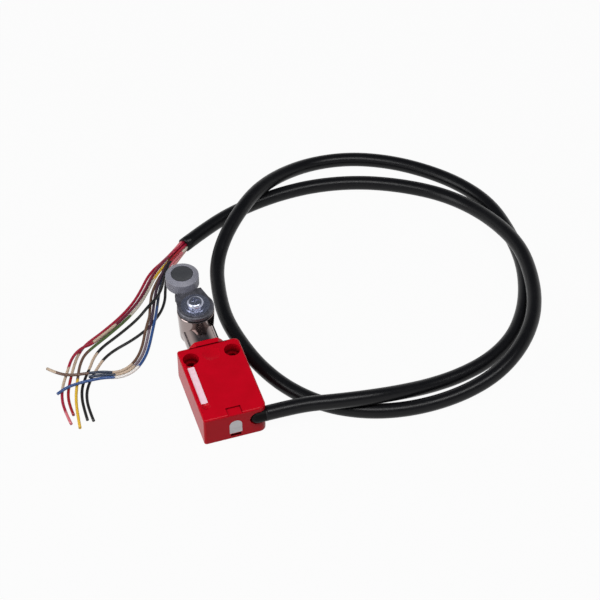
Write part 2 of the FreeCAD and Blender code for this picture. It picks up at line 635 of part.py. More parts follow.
def marking_strip():
    low = -STRIP_TOP_BELOW_HOLES - STRIP_LENGTH
    floor = BODY_DEPTH - STRIP_RECESS_DEPTH
    right = -STRIP_LEFT + STRIP_WIDTH
    top = -STRIP_TOP_BELOW_HOLES
    corners = [(-STRIP_LEFT, low), (right, low), (right, top), (-STRIP_LEFT, top)]
    outline = rounded_outline([(x, y, STRIP_CORNER_RADIUS) for x, y in corners])
    return plate(outline, floor, floor + STRIP_THICKNESS)


# Rear cover

def rear_cover():
    cover = plate(cover_outline(AXIAL_GAP), COVER_SET_BACK, COVER_SET_BACK + COVER_THICKNESS)
    for place in cover_screw_places():
        cover = cover.cut(upright(COVER_SCREW_RADIUS + AXIAL_GAP, -1, COVER_SEAT, place))
        cover = cover.cut(Part.makeCone(COVER_SCREW_HEAD_RADIUS, COVER_SCREW_RADIUS,
                                        COVER_SCREW_HEAD_RADIUS - COVER_SCREW_RADIUS,
                                        place + Z_AXIS * COVER_SET_BACK))
    return cover


def rear_gasket():
    low = COVER_SEAT - GASKET_THICKNESS
    gasket = plate(cover_outline(AXIAL_GAP), low, COVER_SEAT)
    window = box(-CAVITY_HALF_WIDTH, CAVITY_HALF_WIDTH, CAVITY_BOTTOM, CAVITY_TOP, low - 1, COVER_SEAT + 1)
    neck = box(-CHANNEL_HALF_WIDTH, CHANNEL_HALF_WIDTH, CAVITY_TOP - 1, CHANNEL_TOP, low - 1, COVER_SEAT + 1)
    for place in cover_screw_places():
        half = COVER_POST_SIZE / 2
        window = window.cut(box(place.x - half, place.x + half, place.y - half, place.y + half,
                                low - 1, COVER_SEAT + 1))
    gasket = gasket.cut([window, neck])
    for place in cover_screw_places():
        gasket = gasket.cut(upright(COVER_SCREW_RADIUS + AXIAL_GAP, low - 1, COVER_SEAT + 1, place))
    return gasket


def cover_screw(place):
    head = COVER_SCREW_HEAD_RADIUS - COVER_SCREW_RADIUS
    low = COVER_SET_BACK
    profile = [
        (0, low), (COVER_SCREW_HEAD_RADIUS, low), (COVER_SCREW_RADIUS, low + head),
        (COVER_SCREW_RADIUS, low + COVER_SCREW_LENGTH), (0, low + COVER_SCREW_LENGTH),
    ]
    screw = turned(profile, Vector(place.x, place.y, 0), Z_AXIS)
    slot = COVER_SCREW_HEAD_RADIUS * 0.7
    half = COVER_SCREW_SLOT_WIDTH / 2
    return screw.cut(box(place.x - slot, place.x + slot, place.y - half, place.y + half,
                         low - 1, low + COVER_SCREW_SLOT_DEPTH))


# Turret head

def head_body():
    profile = [
        (0, BOSS_BOTTOM), (BOSS_FOOT_RADIUS - BOSS_FOOT_ROUND, BOSS_BOTTOM),
        (BOSS_FOOT_RADIUS, BOSS_BOTTOM + BOSS_FOOT_ROUND),
        (BOSS_RADIUS, BOSS_TOP - BOSS_RIM_CHAMFER), (BOSS_RADIUS - BOSS_RIM_CHAMFER, BOSS_TOP), (0, BOSS_TOP),
    ]
    boss = turned(profile, SHAFT_AXIS, Z_AXIS)
    foot_level = BOSS_BOTTOM + BOSS_FOOT_ROUND
    foot = [edge for edge in boss.Edges
            if abs(edge.BoundBox.ZMax - foot_level) < 0.01 and edge.BoundBox.ZLength < 0.01]
    boss = boss.makeFillet(BOSS_FOOT_ROUND * 0.8, foot)
    neck = along_turret(NECK_RADIUS, COLLAR_END, SHAFT_FROM_HOLES)
    spigot = along_turret(SPIGOT_RADIUS, SPIGOT_END, COLLAR_END)
    groove = SPIGOT_RADIUS - CLIP_GROOVE_DEPTH
    clip_low = CLIP_FACE - CLIP_THICKNESS - SEAT_GAP
    spigot = spigot.cut(along_turret(SPIGOT_RADIUS + 1, clip_low, CLIP_FACE + SEAT_GAP).cut(
        along_turret(groove, clip_low - 1, CLIP_FACE + 1)))
    ring_y = BODY_TOP - SEAL_RING_BELOW_TOP
    ring_half = SEAL_RING_RADIUS + RUNNING
    spigot = spigot.cut(along_turret(SPIGOT_RADIUS + 1, ring_y - ring_half, ring_y + ring_half).cut(
        along_turret(SPIGOT_RADIUS - 2 * SEAL_RING_RADIUS, BODY_BOTTOM, COLLAR_END)))
    head = boss.fuse([neck, spigot]).removeSplitter()
    cuts = [
        upright(CAM_CHAMBER_RADIUS, CHAMBER_BOTTOM, CHAMBER_TOP),
        upright(BUSH_RADIUS, CHAMBER_TOP - 1, BOSS_TOP + 1),
        upright(SHAFT_PIVOT_RADIUS + RUNNING, PIVOT_BOTTOM, CHAMBER_BOTTOM + 1),
        along_turret(FOLLOWER_RADIUS + RUNNING, SPRING_SEAT, SHAFT_FROM_HOLES),
        along_turret(ROD_RADIUS + RUNNING, SPIGOT_END - 1, SPRING_SEAT + 1),
    ]
    return head.cut(cuts)


def serrated(radius, z0, z1):
    """A serrated spigot of pointed teeth."""
    points = []
    steps = 2 * SERRATION_TEETH
    for step in range(steps):
        reach = radius if step % 2 == 0 else radius - SERRATION_DEPTH
        angle = 2 * math.pi * step / steps
        points.append(SHAFT_AXIS + Vector(reach * math.cos(angle), reach * math.sin(angle), 0))
    return plate(Part.makePolygon(points + [points[0]]), z0, z1)


def lever_shaft():
    journal = upright(SHAFT_RADIUS, CHAMBER_TOP - AXIAL_GAP - THRUST_WASHER_THICKNESS, HUB_BOTTOM)
    keyed = upright(SHAFT_KEYED_RADIUS, CAM_BOTTOM - SHAFT_SHOULDER_LENGTH, THRUST_BOTTOM)
    keyed = keyed.cut(box(-BODY_WIDTH, BODY_WIDTH, SHAFT_FROM_HOLES + SHAFT_KEY_FLAT, BODY_WIDTH * 2,
                          CAM_BOTTOM, THRUST_BOTTOM))
    pivot = upright(SHAFT_PIVOT_RADIUS, PIVOT_BOTTOM + SEAT_GAP, CAM_BOTTOM)
    end = serrated(SHAFT_RADIUS, HUB_BOTTOM, HUB_TOP - SHAFT_BELOW_HUB_TOP)
    shaft = journal.fuse([keyed, pivot, end]).removeSplitter()
    return shaft.cut(upright(LEVER_THREAD_RADIUS, HUB_TOP - LEVER_THREAD_DEPTH, HUB_TOP + 1))


def drive_cam():
    cam = upright(CAM_RADIUS, CAM_BOTTOM, CAM_TOP)
    cam = cam.cut(box(-BODY_WIDTH, BODY_WIDTH, -BODY_WIDTH, SHAFT_FROM_HOLES - CAM_FLAT, 0, BODY_DEPTH))
    bore = upright(SHAFT_KEYED_RADIUS + TOOTH_GAP, CAM_BOTTOM - 1, CAM_TOP + 1)
    flat = SHAFT_FROM_HOLES + SHAFT_KEY_FLAT + TOOTH_GAP
    bore = bore.cut(box(-BODY_WIDTH, BODY_WIDTH, flat, BODY_WIDTH * 2, CAM_BOTTOM - 2, CAM_TOP + 2))
    return cam.cut(bore)


def head_follower():
    cup = along_turret(FOLLOWER_RADIUS, CUP_END, FOLLOWER_FACE)
    hollow = along_turret(FOLLOWER_RADIUS - FOLLOWER_WALL, CUP_END - 1, CUP_END + FOLLOWER_CUP_LENGTH / 2)
    rod_part = along_turret(ROD_RADIUS, ROD_END, FOLLOWER_FACE - FOLLOWER_WALL)
    return cup.cut(hollow).fuse(rod_part).removeSplitter()


def ring_about_turret(major, minor, y):
    """A ring about the turret's axis, its round section drawn with eight sides."""
    profile = [(major + minor * math.cos(math.pi * (side + 0.5) / 4),
                minor * math.sin(math.pi * (side + 0.5) / 4)) for side in range(8)]
    return turned(profile, Vector(0, y, TURRET_HEIGHT), Y_AXIS)


def turret_clip():
    low = CLIP_FACE - CLIP_THICKNESS
    inner = SPIGOT_RADIUS - CLIP_GROOVE_DEPTH + RUNNING
    clip = along_turret(CLIP_OUTER_RADIUS, low, CLIP_FACE)
    legs_top = CLIP_LEGS_TOP - AXIAL_GAP
    slot = box(-inner, inner, low - 1, CLIP_FACE + 1, TURRET_HEIGHT, BODY_DEPTH + 1)
    above = box(-BODY_WIDTH, BODY_WIDTH, low - 1, CLIP_FACE + 1, legs_top, BODY_DEPTH * 2)
    below = box(-BODY_WIDTH, BODY_WIDTH, low - 1, CLIP_FACE + 1, -BODY_DEPTH, COVER_SEAT + SEAT_GAP)
    return clip.cut([along_turret(inner, low - 1, CLIP_FACE + 1), slot, above, below])


# Lever

def set_lever(solid):
    """Turn a piece with the lever to the angle at which it is clamped on the shaft."""
    solid.rotate(SHAFT_AXIS, Z_AXIS, LEVER_SET_ANGLE)
    return solid


def lever_arm():
    half_hub = ARM_WIDTH_AT_HUB / 2
    half_shoulder = ARM_WIDTH_AT_SHOULDER / 2
    shoulder = SHAFT_FROM_HOLES + SHOULDER_FROM_SHAFT
    step = SHAFT_FROM_HOLES + FINGER_STEP_FROM_SHAFT
    tip = SHAFT_FROM_HOLES + ARM_LENGTH
    hub = upright(HUB_RADIUS, HUB_BOTTOM, HUB_TOP)
    hub = hub.makeChamfer(HUB_CHAMFER, [edge for edge in hub.Edges if edge.BoundBox.ZMin > HUB_TOP - 0.01])
    corner = SHOULDER_CORNER_RADIUS
    arm_outline = rounded_outline([
        (-half_hub, SHAFT_FROM_HOLES, 0), (half_hub, SHAFT_FROM_HOLES, 0),
        (half_shoulder, shoulder, corner), (-half_shoulder, shoulder, corner),
    ])
    arm = plate(arm_outline, HUB_BOTTOM, HUB_TOP)
    step_block = plate(arm_outline, FINGER_BOTTOM, HUB_BOTTOM)
    step_block = step_block.common(box(-BODY_WIDTH, BODY_WIDTH, step, BODY_WIDTH * 2, 0, BODY_WIDTH))
    tip_half = FINGER_TIP_RADIUS
    root = step + FINGER_ROOT_GAP
    root_half = half_shoulder - FINGER_SIDE_STEP
    finger_outline = rounded_outline([
        (-root_half, root, 0), (root_half, root, 0),
        (tip_half, tip, 0), (-tip_half, tip, 0),
    ])
    finger = plate(finger_outline, FINGER_BOTTOM, FINGER_TOP)
    round_end = upright(tip_half, FINGER_BOTTOM, FINGER_TOP, Vector(0, tip, 0))
    lever = hub.fuse([arm, step_block, finger, round_end]).removeSplitter()
    lever = lever.cut(upright(BOSS_RADIUS + LEVER_TO_BOSS, 0, HUB_BOTTOM))
    lever = lever.cut(upright(ROLLER_RADIUS + ROLLER_RELIEF, FINGER_TOP, BODY_WIDTH, Vector(0, tip, 0)))
    lever = lever.cut(upright(PIN_RADIUS, 0, BODY_WIDTH, Vector(0, tip, 0)))
    return set_lever(lever).cut(serrated(SHAFT_RADIUS + TOOTH_GAP, HUB_BOTTOM - 1, HUB_TOP + 1))


def lever_spring_washer():
    low = HUB_TOP + WASHER_THICKNESS
    high = low + SPRING_WASHER_THICKNESS
    ring = tube(SPRING_WASHER_RADIUS, LEVER_THREAD_RADIUS + WASHER_BORE_GAP, low, high)
    gap = SPRING_WASHER_GAP / 2
    return ring.cut(box(-gap, gap, SHAFT_FROM_HOLES, BODY_WIDTH * 2, low - 1, low + BODY_DEPTH))


def lever_screw():
    top = SCREW_SEAT + SCREW_HEAD_HEIGHT
    shoulder = SCREW_SEAT + SCREW_SIDE_HEIGHT
    shank = LEVER_THREAD_RADIUS - RUNNING
    foot = SCREW_SEAT - SCREW_LENGTH
    origin = SHAFT_AXIS
    chord = Vector(SCREW_HEAD_TOP_RADIUS - SCREW_HEAD_RADIUS, 0, top - shoulder)
    outward = Vector(chord.z, 0, -chord.x).normalize()
    dome_middle = origin + Vector(SCREW_HEAD_RADIUS, 0, shoulder) + chord / 2 + outward * SCREW_DOME_BULGE
    points = [origin + Vector(radius, 0, height) for radius, height in (
        (0, foot), (shank, foot), (shank, SCREW_SEAT), (SCREW_HEAD_RADIUS, SCREW_SEAT),
        (SCREW_HEAD_RADIUS, shoulder), (SCREW_HEAD_TOP_RADIUS, top), (0, top))]
    edges = [Part.makeLine(points[index], points[index + 1]) for index in (0, 1, 2, 3)]
    edges.append(Part.Arc(points[4], dome_middle, points[5]).toShape())
    edges.append(Part.makeLine(points[5], points[6]))
    edges.append(Part.makeLine(points[6], points[0]))
    screw = Part.Face(Part.Wire(edges)).revolve(origin, Z_AXIS, 360)
    half = CROSS_WIDTH / 2
    reach = CROSS_LENGTH / 2
    deep = top - CROSS_DEPTH
    centre = SHAFT_FROM_HOLES
    screw = screw.cut(box(-reach, reach, centre - half, centre + half, deep, top + 1))
    return screw.cut(box(-half, half, centre - reach, centre + reach, deep, top + 1))


def roller():
    axis = Vector(0, SHAFT_FROM_HOLES + ARM_LENGTH, 0)
    low = ROLLER_BOTTOM
    bore = PIN_RADIUS + RUNNING
    profile = [
        (bore, low), (ROLLER_RADIUS - ROLLER_CHAMFER, low), (ROLLER_RADIUS, low + ROLLER_CHAMFER),
        (ROLLER_RADIUS, ROLLER_TOP - ROLLER_BEVEL_HEIGHT), (ROLLER_RADIUS - ROLLER_BEVEL_WIDTH, ROLLER_TOP),
        (RECESS_RADIUS, ROLLER_TOP), (RECESS_RADIUS, RECESS_FLOOR), (bore, RECESS_FLOOR),
    ]
    return turned(profile, axis, Z_AXIS)


def roller_pin():
    axis = Vector(0, SHAFT_FROM_HOLES + ARM_LENGTH, 0)
    head_radius = RECESS_RADIUS - PIN_HEAD_GAP
    head_low = RECESS_FLOOR + SEAT_GAP
    head_top = head_low + PIN_HEAD_THICKNESS
    rivet_low = FINGER_BOTTOM - RIVET_HEIGHT
    pin = turned([
        (0, rivet_low), (RIVET_RADIUS * 0.7, rivet_low), (RIVET_RADIUS, FINGER_BOTTOM),
        (PIN_RADIUS, FINGER_BOTTOM), (PIN_RADIUS, head_low), (head_radius, head_low),
        (head_radius, head_top), (0, head_top),
    ], axis, Z_AXIS)
    dish_edge = head_radius - PIN_RIM
    dish_radius = (dish_edge ** 2 + PIN_DISH_DEPTH ** 2) / (2 * PIN_DISH_DEPTH)
    dish = Part.makeSphere(dish_radius, axis + Z_AXIS * (head_top - PIN_DISH_DEPTH + dish_radius))
    return pin.cut(dish)


# Contact block

def contact_base():
    half = BLOCK_WIDTH / 2
    case = box(-half, half, BLOCK_BOTTOM, BLOCK_TOP, LID_TOP, BLOCK_FRONT)
    pocket = box(-half + BLOCK_WALL, half - BLOCK_WALL, BLOCK_BOTTOM + BLOCK_WALL, BLOCK_TOP - BLOCK_WALL,
                 LID_TOP - 1, BLOCK_FRONT - BLOCK_WALL)
    stem = along_turret(PLUNGER_STEM_RADIUS + RUNNING, BLOCK_TOP - BLOCK_WALL - 1, BLOCK_TOP + 1)
    terminal_slots = [contact_leg(pole, side, RUNNING) for pole in range(3) for side in (-1, 1)]
    return case.cut([pocket, stem] + terminal_slots)


def contact_cover():
    half = BLOCK_WIDTH / 2
    return box(-half, half, BLOCK_BOTTOM, BLOCK_TOP, LID_BOTTOM, LID_TOP)


def pole_level(pole):
    """Where a bridge's upper side lies: poles 0 and 1 open, and pole 2 closes."""
    return CLOSING_POLE if pole == 2 else FIRST_POLE - pole * POLE_PITCH


def contact_plunger():
    low = PLUNGER_END
    half = PLUNGER_WIDTH / 2
    deep = PLUNGER_DEPTH / 2
    top = BLOCK_TOP - BLOCK_WALL - PLUNGER_TOP_GAP
    body = box(-half, half, low, top, TURRET_HEIGHT - deep, TURRET_HEIGHT + deep)
    stem = along_turret(PLUNGER_STEM_RADIUS, top - PLUNGER_STEM_ROOT, ROD_END - SEAT_GAP)
    tail = along_turret(PLUNGER_SPRING_RADIUS - PLUNGER_SPRING_WIRE, low - PLUNGER_TAIL,
                        low + PLUNGER_TAIL_ROOT)
    plunger = body.fuse([stem, tail]).removeSplitter()
    for pole in range(3):
        window_top, window_bottom = window_ends(pole)
        plunger = plunger.cut(box(-BODY_WIDTH, BODY_WIDTH, window_bottom, window_top,
                                  TURRET_HEIGHT - BRIDGE_DEPTH / 2 - RUNNING,
                                  TURRET_HEIGHT + BRIDGE_DEPTH / 2 + RUNNING))
    return plunger


def window_ends(pole):
    """Top and bottom of a bridge's window in the plunger."""
    level = pole_level(pole)
    if pole < 2:
        return level + CONTACT_CLEARANCE, level - BRIDGE_THICKNESS - BRIDGE_SPRING_SPACE
    return level + BRIDGE_SPRING_SPACE, level - BRIDGE_THICKNESS - CONTACT_CLEARANCE


def bridge(pole):
    level = pole_level(pole)
    half = BRIDGE_WIDTH / 2
    deep = BRIDGE_DEPTH / 2
    bar = box(-half, half, level - BRIDGE_THICKNESS, level, TURRET_HEIGHT - deep, TURRET_HEIGHT + deep)
    for side in (-1, 1):
        start = Vector(side * CONTACT_CENTRE, level - BRIDGE_THICKNESS / 2, TURRET_HEIGHT)
        direction = 1 if pole < 2 else -1
        reach = BRIDGE_THICKNESS / 2 + CONTACT_HEIGHT
        bar = bar.fuse(rod(CONTACT_RADIUS, start, start + Y_AXIS * direction * reach))
    return bar.removeSplitter()


def bridge_spring(pole):
    level = pole_level(pole)
    top, bottom = window_ends(pole)
    if pole < 2:
        length = level - BRIDGE_THICKNESS - bottom - 2 * SEAT_GAP
        return coil(BRIDGE_SPRING_RADIUS, BRIDGE_SPRING_WIRE, BRIDGE_SPRING_COILS, length,
                    Vector(0, bottom + SEAT_GAP, TURRET_HEIGHT), Y_AXIS)
    length = top - level - 2 * SEAT_GAP
    return coil(BRIDGE_SPRING_RADIUS, BRIDGE_SPRING_WIRE, BRIDGE_SPRING_COILS, length,
                Vector(0, level + SEAT_GAP, TURRET_HEIGHT), Y_AXIS)


def leg_place(pole):
    """Across and height of the strip that leads a fixed contact down to its terminal."""
    inset = CLOSING_LEG_INSET if pole == 2 else OPENING_LEG_INSET
    height = LOW_TERMINAL_LEVEL if pole == 0 else TURRET_HEIGHT - TERMINAL_HEIGHT / 2
    return LEG_OUTSIDE - STRIP_METAL - inset, height


def contact_face(pole):
    """The height of a fixed strip's face that looks at its bridge."""
    level = pole_level(pole)
    if pole < 2:
        return level + CONTACT_HEIGHT + CONTACT_CLEARANCE + CONTACT_HEIGHT
    return level - BRIDGE_THICKNESS - CONTACT_HEIGHT - FOLLOWER_TRAVEL - CONTACT_CLEARANCE - CONTACT_HEIGHT


def contact_leg(pole, side, clearance=0.0):
    """The upright leg of a fixed contact, which reaches out through the block's end wall."""
    across, height = leg_place(pole)
    face = contact_face(pole)
    inner = side * across
    outer = side * (across + STRIP_METAL)
    return box(min(inner, outer) - clearance, max(inner, outer) + clearance,
               BLOCK_BOTTOM - TERMINAL_LENGTH, face, height - clearance, height + TERMINAL_HEIGHT + clearance)


def fixed_contact(pole, side):
    across, height = leg_place(pole)
    face = contact_face(pole)
    away = 1 if pole < 2 else -1
    back = face + away * STRIP_METAL
    low = min(face, back)
    high = max(face, back)
    inner = side * (CONTACT_CENTRE - CONTACT_RADIUS - AXIAL_GAP)
    outer = side * (across + STRIP_METAL)
    arm = box(min(inner, outer), max(inner, outer), low, high,
              TURRET_HEIGHT - BRIDGE_DEPTH / 2, TURRET_HEIGHT + BRIDGE_DEPTH / 2)
    turn_inner = side * across
    bottom = min(height, TURRET_HEIGHT - BRIDGE_DEPTH / 2)
    turn = box(min(turn_inner, outer), max(turn_inner, outer), low, high,
               bottom, TURRET_HEIGHT + BRIDGE_DEPTH / 2)
    start = Vector(side * CONTACT_CENTRE, face + away * STRIP_METAL / 2, TURRET_HEIGHT)
    button = rod(CONTACT_RADIUS, start, start - Y_AXIS * away * (STRIP_METAL / 2 + CONTACT_HEIGHT))
    return arm.fuse([turn, contact_leg(pole, side), button]).removeSplitter()


# Cable

def cable_elbow():
    centre = Vector(ELBOW_X, CABLE_Y, CABLE_EXIT_HEIGHT)
    inward = rod(ELBOW_RADIUS, centre, centre + Y_AXIS * ELBOW_LENGTH)
    ball = Part.makeSphere(ELBOW_RADIUS, centre)
    stub = rod(ELBOW_RADIUS, centre, Vector(ELBOW_FACE, CABLE_Y, CABLE_EXIT_HEIGHT))
    return inward.fuse([ball, stub]).removeSplitter()


def core_start(place):
    """The point on the jacket's end face where a core leaves it."""
    end = Vector(*CABLE_ROUTE[-1])
    back = Vector(*CABLE_ROUTE[-2])
    along = end - back
    sideways = Vector(along.y, -along.x, 0).normalize()
    if place is None:
        return end
    angle = place * math.pi / 4
    aside = sideways * (CORE_RING_RADIUS * math.cos(angle))
    return end + aside + Z_AXIS * (CORE_RING_RADIUS * math.sin(angle))


def main():
    os.makedirs("parts", exist_ok=True)

    save("housing", housing())
    save("marking_strip", marking_strip())
    save("end_plate", end_plate_shape(0, 0))
    save("rear_cover", rear_cover())
    save("rear_gasket", rear_gasket())
    save("cover_screws", *[cover_screw(place) for place in cover_screw_places()])

    save("head_body", head_body())
    seat = BUSH_RADIUS - SEAT_GAP / 5
    save("shaft_bush", tube(seat, SHAFT_RADIUS + RUNNING, BUSH_BOTTOM, BUSH_TOP))
    save("shaft_seal", tube(seat, SHAFT_RADIUS + RUNNING, BUSH_TOP + SEAT_GAP, SEAL_TOP))
    save("thrust_washer", tube(CAM_RADIUS, SHAFT_RADIUS + AXIAL_GAP, THRUST_BOTTOM,
                               THRUST_BOTTOM + THRUST_WASHER_THICKNESS))
    save("dust_ring", tube(DUST_RING_RADIUS, SHAFT_RADIUS + AXIAL_GAP, BOSS_TOP,
                           BOSS_TOP + DUST_RING_THICKNESS))
    save("turret_seal", ring_about_turret(SPIGOT_RADIUS - SEAL_RING_RADIUS, SEAL_RING_RADIUS - 0.01,
                                          BODY_TOP - SEAL_RING_BELOW_TOP))
    save("turret_clip", turret_clip())
    save("head_spring", coil(HEAD_SPRING_RADIUS, HEAD_SPRING_WIRE, HEAD_SPRING_COILS, HEAD_SPRING_LENGTH,
                             Vector(0, SPRING_SEAT + AXIAL_GAP, TURRET_HEIGHT), Y_AXIS))
    save("head_follower", head_follower())

    tip = Vector(0, SHAFT_FROM_HOLES + ARM_LENGTH, 0)
    save("lever_shaft", lever_shaft())
    save("drive_cam", drive_cam())
    save("lever_arm", lever_arm())
    save("lever_washer", tube(WASHER_RADIUS, LEVER_THREAD_RADIUS + WASHER_BORE_GAP, HUB_TOP,
                              HUB_TOP + WASHER_THICKNESS))
    save("lever_spring_washer", lever_spring_washer())
    save("lever_screw", set_lever(lever_screw()))
    save("roller", set_lever(roller()))
    save("roller_pin", set_lever(roller_pin()))
    save("roller_washer", set_lever(tube(ROLLER_WASHER_RADIUS, PIN_RADIUS + RUNNING, FINGER_TOP + SEAT_GAP,
                                         FINGER_TOP + SEAT_GAP + ROLLER_WASHER_THICKNESS, tip)))

    save("contact_base", contact_base())
    save("contact_cover", contact_cover())
    save("contact_plunger", contact_plunger())
    save("bridge_opening_1", bridge(0))
    save("bridge_opening_2", bridge(1))
    save("bridge_closing", bridge(2))
    save("bridge_springs", *[bridge_spring(pole) for pole in range(3)])
    save("opening_contacts", *[fixed_contact(pole, side) for pole in (0, 1) for side in (-1, 1)])
    save("closing_contacts", *[fixed_contact(2, side) for side in (-1, 1)])
    base_floor = BLOCK_BOTTOM + BLOCK_WALL
    save("plunger_spring", coil(PLUNGER_SPRING_RADIUS, PLUNGER_SPRING_WIRE, PLUNGER_SPRING_COILS,
                                PLUNGER_END - base_floor - FOLLOWER_TRAVEL - 2 * AXIAL_GAP,
                                Vector(0, base_floor + AXIAL_GAP, TURRET_HEIGHT), Y_AXIS))

    save("cable_elbow", cable_elbow())
    exit_point = Vector(ELBOW_FACE, CABLE_Y, CABLE_EXIT_HEIGHT)
    route = [exit_point] + [Vector(*point) for point in CABLE_ROUTE]
    save("cable_jacket", cable_tube("cable_jacket", route, CABLE_RADIUS))
    for colour, points in CORE_ROUTES.items():
        route = [core_start(CORE_PLACES[colour])] + [Vector(*point) for point in points]
        save("core_" + colour, cable_tube("core_" + colour, route, CORE_RADIUS))


main()
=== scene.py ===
import math

import bpy
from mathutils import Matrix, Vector


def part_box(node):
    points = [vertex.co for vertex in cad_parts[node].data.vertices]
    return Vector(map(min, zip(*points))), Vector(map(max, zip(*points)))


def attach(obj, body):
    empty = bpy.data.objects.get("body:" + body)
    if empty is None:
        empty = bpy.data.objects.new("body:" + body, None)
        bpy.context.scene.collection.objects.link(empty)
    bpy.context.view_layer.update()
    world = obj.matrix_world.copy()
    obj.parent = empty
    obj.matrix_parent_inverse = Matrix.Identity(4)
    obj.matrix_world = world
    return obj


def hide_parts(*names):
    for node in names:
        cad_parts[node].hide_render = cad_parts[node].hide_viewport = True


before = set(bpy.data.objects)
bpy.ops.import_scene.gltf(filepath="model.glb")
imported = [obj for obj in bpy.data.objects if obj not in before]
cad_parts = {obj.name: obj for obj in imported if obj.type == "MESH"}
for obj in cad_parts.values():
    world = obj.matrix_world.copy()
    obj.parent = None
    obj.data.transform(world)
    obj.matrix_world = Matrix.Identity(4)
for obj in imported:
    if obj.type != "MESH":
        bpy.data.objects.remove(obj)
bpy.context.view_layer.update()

MM = 0.001

# The photograph's view: where the camera looks, from which side and how far away
VIEW_AZIMUTH = -18.11
VIEW_ELEVATION = 45.65
VIEW_DISTANCE = 945 * MM
VIEW_TARGET = Vector((55.1, 35.8, 0.0)) * MM
LENS = 115.5

CABLE_DIAMETER = 7.2
CORE_DIAMETER = 1.45
CABLE_EXIT = (14.3, -37.0, 9.4)

# The cable's route over the surface, in millimetres
CABLE_ROUTE = [
    (24.0, -37.0, 9.4), (35.0, -39.0, 11.1), (46.6, -41.9, 11.7), (61.9, -44.1, 11.4),
    (78.0, -43.1, 8.2), (95.0, -40.5, 4.4), (111.1, -38.1, 3.65), (127.2, -33.3, 3.65),
    (142.3, -23.9, 3.65), (153.8, -10.2, 3.65), (162.2, 5.9, 3.65), (168.0, 24.8, 3.65),
    (169.5, 46.0, 3.65), (168.0, 67.2, 3.65), (159.7, 85.6, 3.65), (146.7, 101.2, 3.65),
    (130.4, 114.3, 3.65), (111.3, 123.2, 3.65), (90.8, 125.2, 4.2), (70.6, 117.6, 8.2),
    (54.1, 106.0, 11.6), (40.2, 92.2, 11.6), (29.3, 80.3, 8.2), (21.7, 67.5, 4.0),
    (17.8, 50.1, 3.65), (15.9, 32.8, 3.65), (17.8, 15.5, 3.65), (22.1, -3.0, 3.65),
    (30.6, -21.1, 3.65), (43.4, -35.7, 3.65), (58.8, -44.9, 3.65), (75.7, -49.8, 3.65),
    (93.6, -50.8, 3.65), (110.5, -49.4, 5.0), (125.8, -45.8, 8.0), (139.6, -37.6, 10.8),
    (151.7, -24.4, 11.6), (160.0, -8.9, 11.6), (165.1, 9.7, 11.6), (166.7, 27.0, 11.6),
    (164.0, 45.4, 9.6), (158.2, 65.8, 5.6), (146.9, 82.8, 3.65), (129.0, 95.5, 3.65),
    (109.3, 104.5, 3.65), (87.8, 108.9, 3.65), (66.4, 108.4, 3.65), (45.7, 104.1, 3.65),
    (27.6, 97.1, 3.65), (10.6, 87.0, 3.65),
]

# Heights of a core's centre: on the surface, in a second layer, and over another core
LOW = 0.85
UP = 2.4
OVER = 2.6
CORE_RING_RADIUS = 2.2

